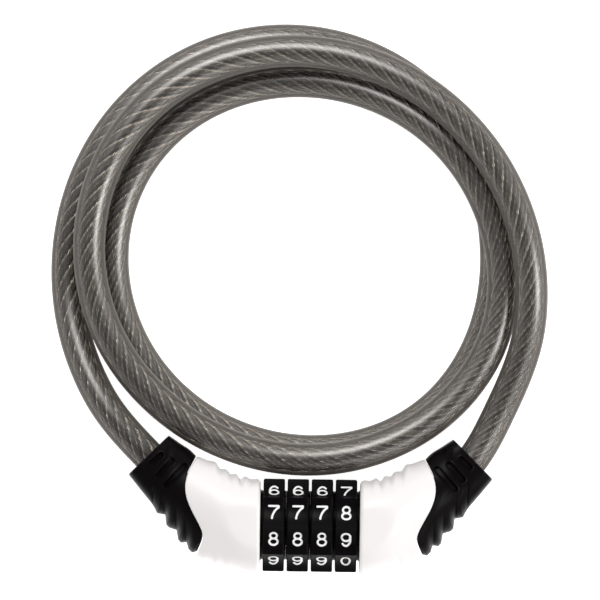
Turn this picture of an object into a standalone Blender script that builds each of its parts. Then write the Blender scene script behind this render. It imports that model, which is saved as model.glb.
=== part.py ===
"""Coiled cable lock with a four-dial combination.

Metres, +Z up. The origin is under the middle of the lock head, on the surface that the lock lies on.
+X runs along the head and its dials, and +Y points from the head to the coil of cable.
The left end is fixed. The right end is the plug, which pulls out along +X.
"""

import math

import bmesh
import bpy
import numpy as np
from mathutils import Matrix, Vector

MM = 0.001
GAP = 0.3 * MM

# The dials' axis, which is also the spindle's and the plug's
AXIS_Y = -6.0 * MM
AXIS_Z = 15.5 * MM

# Dials: ten hollow-ground faces, with an edge straight up
DIAL_COUNT = 4
DIAL_FACES = 10
DIAL_PITCH = 7.5 * MM
DIAL_RIM_WIDTH = 6.4 * MM
DIAL_HUB_WIDTH = DIAL_PITCH - GAP
DIAL_EDGE_R = 15.1 * MM
DIAL_FACE_R = 13.2 * MM
DIAL_HUB_R = 10.75 * MM
DIAL_BORE_R = 8.6 * MM
DIAL_CHAMFER = 0.5 * MM
POINTS_PER_FACE = 3

# Code rings inside the dials: a notched web, and a chamber with ten click dimples
CODE_RING_R = DIAL_BORE_R - GAP
CODE_RING_WIDTH = 6.6 * MM
WEB_WIDTH = 1.8 * MM
WEB_BORE_R = 5.9 * MM
CHAMBER_R = 7.3 * MM
DIMPLE_DEPTH = 0.35 * MM
NOTCH_WIDTH = 2.6 * MM

# Spindle, locking pin and retaining ring
SPINDLE_R = 5.5 * MM
SPINDLE_BORE_R = 3.6 * MM
SPINDLE_START = -22.0 * MM
SPINDLE_BORE_START = -15.6 * MM
SPINDLE_END = 17.5 * MM
SLOT_WIDTH = 2.5 * MM
PIN_R = 3.25 * MM
PIN_TIP = -15.2 * MM
PIN_END = 24.5 * MM
LUG_R = 7.0 * MM
LUG_WIDTH = 1.8 * MM
LUG_LENGTH = 2.1 * MM
RETAINER_R = 7.2 * MM
RETAINER_OPENING = math.radians(60)
CROSS_PIN_R = 1.25 * MM
CROSS_PIN_X = 20.8 * MM

# Plates beside the dials
FLANGE_INNER_X = 15.15 * MM
FLANGE_OUTER_X = 15.9 * MM
FLANGE_R = 11.0 * MM
FLANGE_PLUG_BORE_R = 7.8 * MM

# Casings: outlines of the right-hand end seen from above, mirrored for the left-hand end
CASING_END_X = 15.5 * MM
CASING_TOP = 31.0 * MM
CASING_WALL = 2.0 * MM
SECTION_POWER = 2.5
SEAM = [(34.8, -14.5), (33.2, -10.2), (34.6, -5.6), (37.9, 0.9), (38.9, 5.4), (38.0, 10.3), (35.4, 15.1)]
CASING_UPPER = [(15.5, 7.9), (20.7, 8.6), (26.0, 10.2), (30.9, 12.9), (35.4, 15.1)]
CASING_LOWER = [(15.5, -21.4), (20.4, -20.6), (26.0, -19.2), (30.6, -17.4), (34.8, -14.5)]
CASING_HALF_HEIGHTS = [(0.0, 16.5), (0.35, 16.1), (0.7, 13.6), (1.0, 11.0)]

# Boots: from the seam to the mouth that the cable comes out of
BOOT_UPPER = [(35.4, 15.1), (40.3, 18.6), (44.4, 21.4)]
BOOT_LOWER = [
    (34.8, -14.5), (36.9, -15.0), (38.8, -12.3), (40.9, -12.0), (42.3, -8.7), (44.8, -7.3),
    (45.8, -4.2), (48.1, -3.1), (49.3, -0.2), (53.0, 4.4), (56.75, 9.2),
]
BOOT_HALF_HEIGHTS = [(0.0, 10.9), (0.3, 10.0), (0.65, 9.2), (1.0, 8.65)]

# Cable: a smoke-coloured sleeve over a laid steel rope
CABLE_R = 5.0 * MM
SLEEVE_WALL = 1.15 * MM
ROPE_R = CABLE_R - SLEEVE_WALL - 1.1 * GAP
CABLE_POINTS = 90
BORE_CLEARANCE = 0.4 * MM

# Cable ends: the sleeve stops at the seam, and the rope runs on into a ferrule
FERRULE_R = 4.8 * MM
FERRULE_LENGTH = 11.5 * MM
ROPE_IN_FERRULE = 5.0 * MM

# The coil: its middle, its start, and the strand's distance from the middle at each 30 degrees
# that the cable runs on clockwise
COIL_MIDDLE = (-4.3, 71.7)
COIL_START = 225.7
COIL_STEP = 30.0
COIL_RADII = [
    73.0, 72.5, 73.2, 74.7, 74.6, 72.1, 67.8, 62.8, 60.3, 58.7, 55.8, 53.9,
    54.4, 56.7, 59.6, 61.3, 61.1, 60.9, 61.7, 62.8, 63.6, 61.1, 58.1, 56.9,
    58.4, 62.6, 67.3, 70.6, 70.6, 69.6, 69.3, 70.7, 73.5,
]
# Height of the strand's middle, by degrees run: it leaves the boot, lies on the floor, climbs over
# the first turn, then over the second, and comes down to the other boot
COIL_HEIGHTS = [
    (0, 15.5), (47, 5.1), (485, 5.1), (550, 15.45), (845, 15.45), (916, 22.6), (942, 22.6), (986, 15.5),
]
LEFT_END = [(-38.5, 2.9, 15.5), (-44.85, 9.25, 15.5), (-51.2, 15.6, 15.5)]
RIGHT_END = [(58.1, 29.2, 15.7), (50.9, 15.9, 15.5), (38.5, 2.9, 15.5)]


# ---------------------------------------------------------------- small tools


def empty_scene():
    for thing in list(bpy.data.objects):
        bpy.data.objects.remove(thing)


def plain_material(name, colour, roughness, metallic=0.0, alpha=1.0):
    """A Principled material, made once for each name."""
    made = bpy.data.materials.get(name)
    if made:
        return made
    made = bpy.data.materials.new(name)
    made.use_nodes = True
    shader = made.node_tree.nodes["Principled BSDF"]
    shader.inputs["Base Color"].default_value = (*colour, 1.0)
    shader.inputs["Roughness"].default_value = roughness
    shader.inputs["Metallic"].default_value = metallic
    shader.inputs["Alpha"].default_value = alpha
    made.diffuse_color = (*colour, alpha)
    return made


def finish_object(name, shape, material, origin=(0.0, 0.0, 0.0)):
    """Turns a bmesh into an object whose origin is at the given point."""
    bmesh.ops.recalc_face_normals(shape, faces=shape.faces)
    bmesh.ops.translate(shape, verts=shape.verts, vec=-Vector(origin))
    mesh = bpy.data.meshes.new(name)
    shape.to_mesh(mesh)
    shape.free()
    mesh.shade_smooth()
    mesh.set_sharp_from_angle(angle=math.radians(35))
    thing = bpy.data.objects.new(name, mesh)
    thing.location = origin
    bpy.context.scene.collection.objects.link(thing)
    if material:
        mesh.materials.append(material)
    return thing


def boolean(thing, other, operation="DIFFERENCE"):
    """Adds an exact Boolean, and hides its other shape."""
    step = thing.modifiers.new(operation.title(), "BOOLEAN")
    step.operation = operation
    step.solver = "EXACT"
    step.object = other
    other.hide_render = True
    other.display_type = "WIRE"


def loft(sections, ring=False):
    """A bmesh through equal closed sections, with flat ends, or joined last to first as a ring."""
    shape = bmesh.new()
    rows = [[shape.verts.new(point) for point in section] for section in sections]
    pairs = list(zip(rows, rows[1:]))
    if ring:
        pairs.append((rows[-1], rows[0]))
    else:
        shape.faces.new(rows[0])
        shape.faces.new(rows[-1])
    for here, there in pairs:
        for i in range(len(here)):
            j = (i + 1) % len(here)
            shape.faces.new((here[i], here[j], there[j], there[i]))
    return shape


def circle_x(x, radius, count, turn=0.0):
    """Points on a circle about the dials' axis, from straight up and on towards -Y."""
    angles = [turn + 2 * math.pi * i / count for i in range(count)]
    return [(x, AXIS_Y - radius * math.sin(a), AXIS_Z + radius * math.cos(a)) for a in angles]


def washer(x0, x1, inner, outer, count):
    """A flat ring about the dials' axis."""
    corners = [(x0, outer), (x1, outer), (x1, inner), (x0, inner)]
    return loft([circle_x(x, radius, count) for x, radius in corners], ring=True)


def rod(start, end, radius, count=20, chamfer=0.0):
    """A round bar between two points, with a chamfer at its far end."""
    start, end = Vector(start), Vector(end)
    way = end - start
    turn = way.to_track_quat("Z", "Y").to_matrix().to_4x4()
    place = Matrix.Translation(start) @ turn
    stations = [(0.0, radius), (way.length - chamfer, radius)]
    if chamfer:
        stations.append((way.length, radius - chamfer))
    sections = []
    for along, wide in stations:
        ring = [2 * math.pi * i / count for i in range(count)]
        sections.append([place @ Vector((wide * math.cos(a), wide * math.sin(a), along)) for a in ring])
    return loft(sections)


def rod_x(x0, x1, radius, count=24, chamfer=0.0):
    """A round bar along the dials' axis."""
    return rod((x0, AXIS_Y, AXIS_Z), (x1, AXIS_Y, AXIS_Z), radius, count, chamfer)


def block(low, high):
    """A box between two corners."""
    middle = (Vector(low) + Vector(high)) / 2
    size = Vector(high) - Vector(low)
    shape = bmesh.new()
    bmesh.ops.create_cube(shape, size=1.0, matrix=Matrix.Translation(middle) @ Matrix.Diagonal((*size, 1.0)))
    return shape


def smooth_curve(points, count):
    """Evenly spaced points on the natural cubic spline through the given ones."""
    knots = np.array(points, float)
    last = len(knots) - 1
    reach = np.r_[0, np.cumsum(np.linalg.norm(np.diff(knots, axis=0), axis=1))]
    step = np.diff(reach)
    system = np.eye(last + 1)
    known = np.zeros_like(knots)
    for i in range(1, last):
        system[i, i - 1 : i + 2] = step[i - 1], 2 * (step[i - 1] + step[i]), step[i]
        known[i] = 6 * ((knots[i + 1] - knots[i]) / step[i] - (knots[i] - knots[i - 1]) / step[i - 1])
    bend = np.linalg.solve(system, known)
    where = np.linspace(0, reach[-1], count)
    i = np.clip(np.searchsorted(reach, where, side="right") - 1, 0, last - 1)
    back = ((reach[i + 1] - where) / step[i])[:, None]
    ahead = 1 - back
    sixth = (step[i] ** 2 / 6)[:, None]
    straight = back * knots[i] + ahead * knots[i + 1]
    return straight + sixth * ((back**3 - back) * bend[i] + (ahead**3 - ahead) * bend[i + 1])


def point_at(line, share):
    """The point at a share of a line's length."""
    line = np.array(line, float)
    reach = np.r_[0, np.cumsum(np.linalg.norm(np.diff(line, axis=0), axis=1))]
    return np.array([np.interp(share * reach[-1], reach, line[:, k]) for k in range(line.shape[1])])


# ---------------------------------------------------------------- dials and their works


def dial_centre(number):
    return (number - (DIAL_COUNT + 1) / 2) * DIAL_PITCH


def dial_outline(x, shrink):
    """Ten hollow faces: each is an arc that dips between two edges."""
    sag = DIAL_EDGE_R * math.cos(math.pi / DIAL_FACES) - DIAL_FACE_R
    half = DIAL_EDGE_R * math.sin(math.pi / DIAL_FACES)
    points = []
    for face in range(DIAL_FACES):
        middle = 2 * math.pi * (face + 0.5) / DIAL_FACES
        for i in range(POINTS_PER_FACE):
            across = -1 + 2 * i / POINTS_PER_FACE
            out = DIAL_FACE_R + sag * across**2 - shrink
            side = half * across * (1 - shrink / DIAL_EDGE_R)
            up = out * math.cos(middle) - side * math.sin(middle)
            left = out * math.sin(middle) + side * math.cos(middle)
            points.append((x, AXIS_Y - left, AXIS_Z + up))
    return points


def make_dial(number, material):
    x = dial_centre(number)
    rim, hub = DIAL_RIM_WIDTH / 2, DIAL_HUB_WIDTH / 2
    count = DIAL_FACES * POINTS_PER_FACE
    sections = [
        circle_x(x - hub, DIAL_BORE_R, count),
        circle_x(x - hub, DIAL_HUB_R, count),
        circle_x(x - rim, DIAL_HUB_R, count),
        dial_outline(x - rim, DIAL_CHAMFER),
        dial_outline(x - rim + DIAL_CHAMFER, 0.0),
        dial_outline(x + rim - DIAL_CHAMFER, 0.0),
        dial_outline(x + rim, DIAL_CHAMFER),
        circle_x(x + rim, DIAL_HUB_R, count),
        circle_x(x + hub, DIAL_HUB_R, count),
        circle_x(x + hub, DIAL_BORE_R, count),
    ]
    finish_object(f"dial_{number}", loft(sections, ring=True), material, (x, AXIS_Y, AXIS_Z))


def make_code_ring(number, material):
    """The chamber is open towards -X, and its web is at the +X side with a notch straight down."""
    x = dial_centre(number)
    half = CODE_RING_WIDTH / 2
    count = 4 * DIAL_FACES

    def dimpled(at):
        turns = [2 * math.pi * i / count for i in range(count)]
        radii = [CHAMBER_R + DIMPLE_DEPTH * (0.5 + 0.5 * math.cos(DIAL_FACES * a)) for a in turns]
        return [(at, AXIS_Y - r * math.sin(a), AXIS_Z + r * math.cos(a)) for a, r in zip(turns, radii)]

    sections = [
        circle_x(x - half, CODE_RING_R, count),
        circle_x(x + half, CODE_RING_R, count),
        circle_x(x + half, WEB_BORE_R, count),
        circle_x(x + half - WEB_WIDTH, WEB_BORE_R, count),
        dimpled(x + half - WEB_WIDTH),
        dimpled(x - half),
    ]
    name = f"code_ring_{number}"
    ring = finish_object(name, loft(sections, ring=True), material, (x, AXIS_Y, AXIS_Z))
    notch = block(
        (x, AXIS_Y - NOTCH_WIDTH / 2, AXIS_Z - LUG_R - GAP),
        (x + half + MM, AXIS_Y + NOTCH_WIDTH / 2, AXIS_Z - WEB_BORE_R / 2),
    )
    boolean(ring, finish_object(f"{name}_notch_cutter", notch, None))


def make_detent_spring(number, material):
    """A leaf that lies on top of the spindle and bows up into the code ring's chamber."""
    x = dial_centre(number)
    start, end = x - 2.9 * MM, x + 1.1 * MM
    thick, half_width = 0.3 * MM, 1.0 * MM
    low = SPINDLE_R + GAP
    rise = CHAMBER_R - GAP - thick - low
    lower, upper = [], []
    for i in range(9):
        share = i / 8
        along = start + (end - start) * share
        lift = low + rise * math.sin(math.pi * share) ** 2
        lower.append((along, lift))
        upper.append((along, lift + thick))
    outline = lower + upper[::-1]
    sections = [[(a, AXIS_Y + side, AXIS_Z + z) for a, z in outline] for side in (-half_width, half_width)]
    finish_object(f"detent_spring_{number}", loft(sections), material)


def make_spindle(material):
    """A bar with a blind bore for the locking pin and a slot along its underside for the pin's lugs."""
    spindle = finish_object("spindle", rod_x(SPINDLE_START, SPINDLE_END, SPINDLE_R), material)
    bore = rod_x(SPINDLE_BORE_START, SPINDLE_END + MM, SPINDLE_BORE_R)
    slot = block(
        (SPINDLE_BORE_START + MM, AXIS_Y - SLOT_WIDTH / 2, AXIS_Z - SPINDLE_R - MM),
        (SPINDLE_END + MM, AXIS_Y + SLOT_WIDTH / 2, AXIS_Z - SPINDLE_BORE_R / 2),
    )
    boolean(spindle, finish_object("spindle_bore_cutter", bore, None))
    boolean(spindle, finish_object("spindle_slot_cutter", slot, None))


def make_locking_pin(material):
    """A round pin with one lug for each dial, standing just behind that dial's notched web."""
    pin = finish_object("locking_pin", rod_x(PIN_END, PIN_TIP, PIN_R, chamfer=0.8 * MM), material)
    web_start = CODE_RING_WIDTH / 2 - WEB_WIDTH
    for number in range(1, DIAL_COUNT + 1):
        lug_end = dial_centre(number) + web_start - GAP
        lug = block(
            (lug_end - LUG_LENGTH, AXIS_Y - LUG_WIDTH / 2, AXIS_Z - LUG_R),
            (lug_end, AXIS_Y + LUG_WIDTH / 2, AXIS_Z - PIN_R / 2),
        )
        boolean(pin, finish_object(f"lug_{number}_guide", lug, None), "UNION")
    hole = rod(
        (CROSS_PIN_X, AXIS_Y, AXIS_Z - 2 * PIN_R),
        (CROSS_PIN_X, AXIS_Y, AXIS_Z + 2 * PIN_R),
        CROSS_PIN_R + GAP,
    )
    boolean(pin, finish_object("pin_hole_cutter", hole, None))


def make_retaining_ring(material):
    """A snap ring with its opening straight down, so that the lugs pass through it."""
    count = 24
    sections = []
    for i in range(count + 1):
        turn = -math.pi + RETAINER_OPENING / 2 + (2 * math.pi - RETAINER_OPENING) * i / count
        y, z = -math.sin(turn), math.cos(turn)
        corners = [
            (FLANGE_INNER_X, SPINDLE_R + GAP),
            (FLANGE_OUTER_X - 0.1 * MM, SPINDLE_R + GAP),
            (FLANGE_OUTER_X - 0.1 * MM, RETAINER_R),
            (FLANGE_INNER_X, RETAINER_R),
        ]
        sections.append([(x, AXIS_Y + r * y, AXIS_Z + r * z) for x, r in corners])
    finish_object("retaining_ring", loft(sections), material)


# ---------------------------------------------------------------- casings, boots and blocks


class End:
    """One end of the lock head, seen from above: side is -1 for the fixed end and +1 for the plug."""

    def __init__(self, side):
        self.side = side
        self.name = "left" if side < 0 else "right"
        self.seam = smooth_curve(SEAM, 33)
        self.casing_upper = smooth_curve(CASING_UPPER, 17)
        self.casing_lower = smooth_curve(CASING_LOWER, 17)

    def casing_point(self, along, across):
        """Coons patch between the dial end, the seam, and the casing's upper and lower edges."""
        return self.patch(self.casing_lower, self.casing_upper, self.seam, along, across)

    def boot_point(self, along, across):
        """Coons patch between the seam, moved out by a gap, and the mouth."""
        seam = self.seam + np.array([GAP / MM, 0.0])
        lower = np.array(BOOT_LOWER)
        upper = smooth_curve(BOOT_UPPER, 9)
        lower[0], upper[0] = seam[0], seam[-1]
        mouth = np.array([lower[-1], upper[-1]])
        return self.patch(lower, upper, mouth, along, across, seam)

    def patch(self, lower, upper, far, along, across, near=None):
        near = np.array([lower[0], upper[0]]) if near is None else near
        low, high = point_at(lower, along), point_at(upper, along)
        start, end = point_at(near, across), point_at(far, across)
        edges = (1 - across) * low + across * high + (1 - along) * start + along * end
        corners = (
            (1 - along) * ((1 - across) * lower[0] + across * upper[0])
            + along * ((1 - across) * lower[-1] + across * upper[-1])
        )
        x, y = (edges - corners) * MM
        return self.side * x, y

    def section(self, place, half_heights, along, columns, inset=0.0):
        """One closed section: over the top from the lower edge to the upper one, and back below."""
        stations, heights = zip(*half_heights)
        half_height = np.interp(along, stations, heights) * MM - inset
        ends = [Vector(place(along, 0.0)), Vector(place(along, 1.0))]
        margin = inset / (ends[1] - ends[0]).length
        top, below = [], []
        for i in range(columns + 1):
            share = 0.5 - 0.5 * math.cos(math.pi * i / columns)
            lift = half_height * (1 - abs(2 * share - 1) ** SECTION_POWER) ** (1 / SECTION_POWER)
            lift = min(lift, CASING_TOP / 2 - inset)
            x, y = place(along, margin + share * (1 - 2 * margin))
            top.append((x, y, AXIS_Z + lift))
            below.append((x, y, AXIS_Z - lift))
        return top + below[-2:0:-1]

    def body(self, place, half_heights, rows, columns, inset=0.0):
        """A closed body through the sections at the given shares, with upright ends."""
        sections = [self.section(place, half_heights, along, columns, inset) for along in rows]
        shape = bmesh.new()
        loops = [[shape.verts.new(point) for point in section] for section in sections]
        count = 2 * columns
        for here, there in zip(loops, loops[1:]):
            for i in range(count):
                j = (i + 1) % count
                shape.faces.new((here[i], here[j], there[j], there[i]))
        for loop in (loops[0], loops[-1]):
            for i in range(columns):
                corners = [loop[i], loop[i + 1], loop[-(i + 1)], loop[-i]] if i else [loop[0], loop[1], loop[-1]]
                shape.faces.new(list(dict.fromkeys(corners)))
        return shape

    def place(self, x, y, z=AXIS_Z):
        return (self.side * x, y, z)


def half_space(name, above):
    """A big box that keeps what lies above, or below, the casing's parting plane."""
    low, high = (AXIS_Z + GAP / 2, 60 * MM) if above else (-60 * MM, AXIS_Z - GAP / 2)
    return finish_object(name, block((-80 * MM, -60 * MM, low), (80 * MM, 60 * MM, high)), None)


def make_casing(end, material, keep_above, keep_below):
    """A hollow casing with an end wall beside the dials, parted into a front and a back shell."""
    rows = np.linspace(0.0, 1.0, 9)
    length = (SEAM[0][0] * MM - CASING_END_X)
    inner_rows = np.linspace(CASING_WALL / length, 1.0, 7)
    for half, keep in (("front", keep_above), ("back", keep_below)):
        name = f"{end.name}_shell_{half}"
        shell = finish_object(name, end.body(end.casing_point, CASING_HALF_HEIGHTS, rows, 14), material)
        hollow = end.body(end.casing_point, CASING_HALF_HEIGHTS, inner_rows, 10, CASING_WALL)
        push_out_last(hollow, end, 2 * 10)
        hole = rod_x(end.side * (CASING_END_X - MM), end.side * (CASING_END_X + 4 * MM), FLANGE_R + GAP, 32)
        boolean(shell, finish_object(f"{name}_hollow_cutter", hollow, None))
        boolean(shell, finish_object(f"{name}_hole_cutter", hole, None))
        boolean(shell, keep, "INTERSECT")


def push_out_last(shape, end, count):
    """Moves a cutter's last section past the seam, so that the cut goes right through."""
    shape.verts.ensure_lookup_table()
    last = shape.verts[-count:]
    bmesh.ops.translate(shape, verts=last, vec=(end.side * 3 * MM, 0.0, 0.0))


def make_boot(end, material, cable_cutter):
    reach = np.r_[0, np.cumsum(np.linalg.norm(np.diff(BOOT_LOWER, axis=0), axis=1))]
    boot = finish_object(
        f"{end.name}_boot",
        end.body(end.boot_point, BOOT_HALF_HEIGHTS, reach / reach[-1], 10),
        material,
    )
    boolean(boot, cable_cutter)


def make_block(end, name, material):
    """The die-cast block inside a casing: it takes the ferrule at one side and the spindle or the
    locking pin at the other, and a boss on it reaches through the casing's end wall."""
    rows = np.linspace(0.14, 0.86, 5)
    body = finish_object(
        name, end.body(end.casing_point, CASING_HALF_HEIGHTS, rows, 8, CASING_WALL + 2 * GAP), material
    )
    boss = rod_x(end.side * (FLANGE_OUTER_X + GAP), end.side * 20 * MM, FLANGE_R - GAP)
    boolean(body, finish_object(f"{name}_boss_guide", boss, None), "UNION")
    if end.side < 0:
        holes = [(SPINDLE_R + GAP, -SPINDLE_START + GAP)]
    else:
        holes = [(SPINDLE_R + 2 * GAP, SPINDLE_END + 2 * GAP), (SPINDLE_BORE_R, PIN_END + GAP)]
        cross = rod(
            (CROSS_PIN_X, AXIS_Y, AXIS_Z - 20 * MM),
            (CROSS_PIN_X, AXIS_Y, AXIS_Z + 20 * MM),
            CROSS_PIN_R + GAP,
        )
        boolean(body, finish_object(f"{name}_cross_cutter", cross, None))
    for i, (radius, depth) in enumerate(holes):
        hole = rod_x(end.side * 15 * MM, end.side * depth, radius)
        boolean(body, finish_object(f"{name}_hole_{i}_cutter", hole, None))
    seat, way = ferrule_start(end), ferrule_way(end)
    socket = rod(seat - way * 8 * MM, seat + way * (FERRULE_LENGTH + GAP), FERRULE_R + GAP)
    boolean(body, finish_object(f"{name}_socket_cutter", socket, None))
    foot, head = ferrule_pin_line(end)
    cross = rod(foot - Vector((0, 0, 9 * MM)), head + Vector((0, 0, 9 * MM)), CROSS_PIN_R + GAP)
    boolean(body, finish_object(f"{name}_ferrule_pin_cutter", cross, None))


# ---------------------------------------------------------------- cable and its ends


def ferrule_way(end):
    """The way into the head, at 45 degrees."""
    return Vector((-end.side * math.sqrt(0.5), -math.sqrt(0.5), 0.0))


def ferrule_start(end):
    route_end = LEFT_END[0] if end.side < 0 else RIGHT_END[-1]
    return Vector(route_end) * MM + ferrule_way(end) * GAP


def ferrule_pin_line(end):
    """The ferrule's cross pin stands upright through its solid part."""
    middle = ferrule_start(end) + ferrule_way(end) * (FERRULE_LENGTH - 3 * MM)
    reach = Vector((0.0, 0.0, 7.5 * MM))
    return middle - reach, middle + reach


def make_ferrule(end, material):
    seat, way = ferrule_start(end), ferrule_way(end)
    name = f"{end.name}_ferrule"
    ferrule = finish_object(name, rod(seat, seat + way * FERRULE_LENGTH, FERRULE_R), material)
    bore = rod(seat - way * MM, seat + way * (ROPE_IN_FERRULE + GAP), ROPE_R + GAP)
    boolean(ferrule, finish_object(f"{name}_bore_cutter", bore, None))
    foot, head = ferrule_pin_line(end)
    cross = rod(foot, head, CROSS_PIN_R + GAP)
    boolean(ferrule, finish_object(f"{name}_cross_cutter", cross, None))
    finish_object(f"{end.name}_ferrule_pin", rod(foot, head, CROSS_PIN_R, 16), material)


def coil_height(degrees):
    """Eased steps between the stated heights."""
    for (start, low), (end, high) in zip(COIL_HEIGHTS, COIL_HEIGHTS[1:]):
        if degrees <= end:
            share = (degrees - start) / (end - start)
            return low + (high - low) * share * share * (3 - 2 * share)
    return COIL_HEIGHTS[-1][1]


def cable_route():
    """The cable's whole centreline, from inside the fixed end round the coil to inside the plug."""
    stated = [(COIL_STEP * i, radius) for i, radius in enumerate(COIL_RADII)]
    radii = smooth_curve(stated, 800)
    route = list(LEFT_END)
    for degrees in np.arange(10, COIL_STEP * (len(COIL_RADII) - 1) + 1, 10):
        radius = np.interp(degrees, radii[:, 0], radii[:, 1])
        angle = math.radians(COIL_START - degrees)
        x = COIL_MIDDLE[0] + radius * math.cos(angle)
        y = COIL_MIDDLE[1] + radius * math.sin(angle)
        route.append((x, y, coil_height(degrees)))
    route += RIGHT_END
    return smooth_curve(route, CABLE_POINTS) * MM


def tube(name, points, radius, material, caps=True):
    """A round tube along points, as a bevelled curve."""
    curve = bpy.data.curves.new(name, "CURVE")
    curve.dimensions = "3D"
    curve.bevel_depth = radius
    curve.bevel_resolution = 2
    curve.use_fill_caps = caps
    line = curve.splines.new("POLY")
    line.points.add(len(points) - 1)
    for spot, point in zip(line.points, points):
        spot.co = (*point, 1.0)
    thing = bpy.data.objects.new(name, curve)
    bpy.context.scene.collection.objects.link(thing)
    if material:
        curve.materials.append(material)
    return thing


def make_cable(ends, sleeve_material, rope_material):
    route = cable_route()
    sleeve = tube("cable_sheath", route, CABLE_R, sleeve_material, caps=False)
    wall = sleeve.modifiers.new("Wall", "SOLIDIFY")
    wall.thickness = SLEEVE_WALL
    wall.offset = -1.0
    tube("wire_rope", run_on(route, ends, ROPE_IN_FERRULE), ROPE_R, rope_material)
    return bore_cutter(run_on(route, ends, FERRULE_LENGTH))


def run_on(route, ends, length):
    """The route with a straight length added at each end, into the head."""
    start, finish = [np.array(ferrule_start(end) + ferrule_way(end) * length) for end in ends]
    return np.vstack([start, route, finish])


def bore_cutter(path):
    """The path of the cable and its ferrules, fattened by a clearance, as a mesh that cuts the boots."""
    fat = tube("fat_cable", path, CABLE_R + BORE_CLEARANCE, None)
    mesh = bpy.data.meshes.new_from_object(fat)
    bpy.data.objects.remove(fat)
    shape = bmesh.new()
    shape.from_mesh(mesh)
    bpy.data.meshes.remove(mesh)
    bmesh.ops.remove_doubles(shape, verts=shape.verts, dist=0.001 * MM)
    return finish_object("cable_path_cutter", shape, None)


# ---------------------------------------------------------------- the whole lock


def build():
    empty_scene()
    white = plain_material("white_plastic", (0.86, 0.85, 0.84), 0.35)
    black = plain_material("black_rubber", (0.02, 0.02, 0.02), 0.5)
    dial_black = plain_material("dial_plastic", (0.015, 0.015, 0.017), 0.3)
    die_cast = plain_material("die_cast_zinc", (0.55, 0.55, 0.56), 0.45, 1.0)
    steel = plain_material("steel", (0.62, 0.62, 0.63), 0.3, 1.0)
    brass = plain_material("brass", (0.75, 0.58, 0.28), 0.35, 1.0)
    sleeve = plain_material("smoke_sleeve", (0.16, 0.15, 0.13), 0.15, 0.0, 0.45)
    rope = plain_material("wire_rope", (0.45, 0.44, 0.42), 0.35, 1.0)

    ends = [End(-1), End(1)]
    cable_cutter = make_cable(ends, sleeve, rope)
    keep_above = half_space("front_half_guide", True)
    keep_below = half_space("back_half_guide", False)
    for end in ends:
        make_casing(end, white, keep_above, keep_below)
        make_boot(end, black, cable_cutter)
        make_ferrule(end, steel)
        bore = SPINDLE_R + GAP if end.side < 0 else FLANGE_PLUG_BORE_R
        x0, x1 = sorted((end.side * FLANGE_INNER_X, end.side * FLANGE_OUTER_X))
        finish_object(f"{end.name}_flange", washer(x0, x1, bore, FLANGE_R, 32), dial_black)
    make_block(ends[0], "lock_body", die_cast)
    make_block(ends[1], "plug_body", die_cast)

    make_spindle(steel)
    make_locking_pin(steel)
    make_retaining_ring(steel)
    reach = Vector((0.0, 0.0, 8.0 * MM))
    middle = Vector((CROSS_PIN_X, AXIS_Y, AXIS_Z))
    finish_object("pin_cross_pin", rod(middle - reach, middle + reach, CROSS_PIN_R, 16), steel)
    for number in range(1, DIAL_COUNT + 1):
        make_dial(number, dial_black)
        make_code_ring(number, brass)
        make_detent_spring(number, steel)


build()
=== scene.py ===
"""A coiled cable lock: four number dials between two casings, and a smoke-coloured steel cable
that joins them. The sections follow the lock as it is put together. Metres, +Z up: the head lies
along X with its dials in the middle, and the coil of cable lies beyond it along +Y.
"""

import math

import bmesh
import bpy
import numpy as np
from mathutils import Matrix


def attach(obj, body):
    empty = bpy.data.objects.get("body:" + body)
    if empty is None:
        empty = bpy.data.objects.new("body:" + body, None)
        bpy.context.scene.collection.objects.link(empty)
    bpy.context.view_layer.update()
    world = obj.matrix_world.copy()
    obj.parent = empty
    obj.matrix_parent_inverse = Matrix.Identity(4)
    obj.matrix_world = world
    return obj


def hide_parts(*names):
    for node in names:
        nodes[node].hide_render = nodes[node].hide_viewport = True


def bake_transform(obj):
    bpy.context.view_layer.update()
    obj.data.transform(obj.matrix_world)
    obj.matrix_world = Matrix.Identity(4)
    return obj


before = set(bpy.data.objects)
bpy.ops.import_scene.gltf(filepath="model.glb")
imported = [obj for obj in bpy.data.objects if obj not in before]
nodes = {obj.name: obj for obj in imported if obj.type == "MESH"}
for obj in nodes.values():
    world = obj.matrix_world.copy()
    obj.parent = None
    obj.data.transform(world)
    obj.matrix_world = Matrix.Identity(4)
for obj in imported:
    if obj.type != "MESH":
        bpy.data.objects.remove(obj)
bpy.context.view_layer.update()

# ------------------------------------------------------------------ bench, lamps and camera
# A pale sheet lies under the lock and runs on far behind it. Three broad soft lamps stand round
# it, and the camera looks straight down from a long way off through a long lens.

MM = 0.001
VIEW_CENTRE = (-4.05 * MM, 64.2 * MM)
CAMERA_HEIGHT = 2.6
VIEW_WIDTH = 187.0 * MM
CAMERA_ROLL = math.radians(0.8)
HEAD_MIDDLE_HEIGHT = 15.5 * MM

camera = bpy.data.objects.new("camera", bpy.data.cameras.new("camera"))
camera.location = (*VIEW_CENTRE, CAMERA_HEIGHT)
camera.rotation_euler = (0.0, 0.0, CAMERA_ROLL)
camera.data.sensor_width = 36.0
camera.data.lens = 36.0 * (CAMERA_HEIGHT - HEAD_MIDDLE_HEIGHT) / VIEW_WIDTH
camera.data.clip_start, camera.data.clip_end = 0.1, 100.0
bpy.context.scene.collection.objects.link(camera)
bpy.context.scene.camera = camera
bpy.context.scene.view_settings.view_transform = "Standard"


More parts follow.
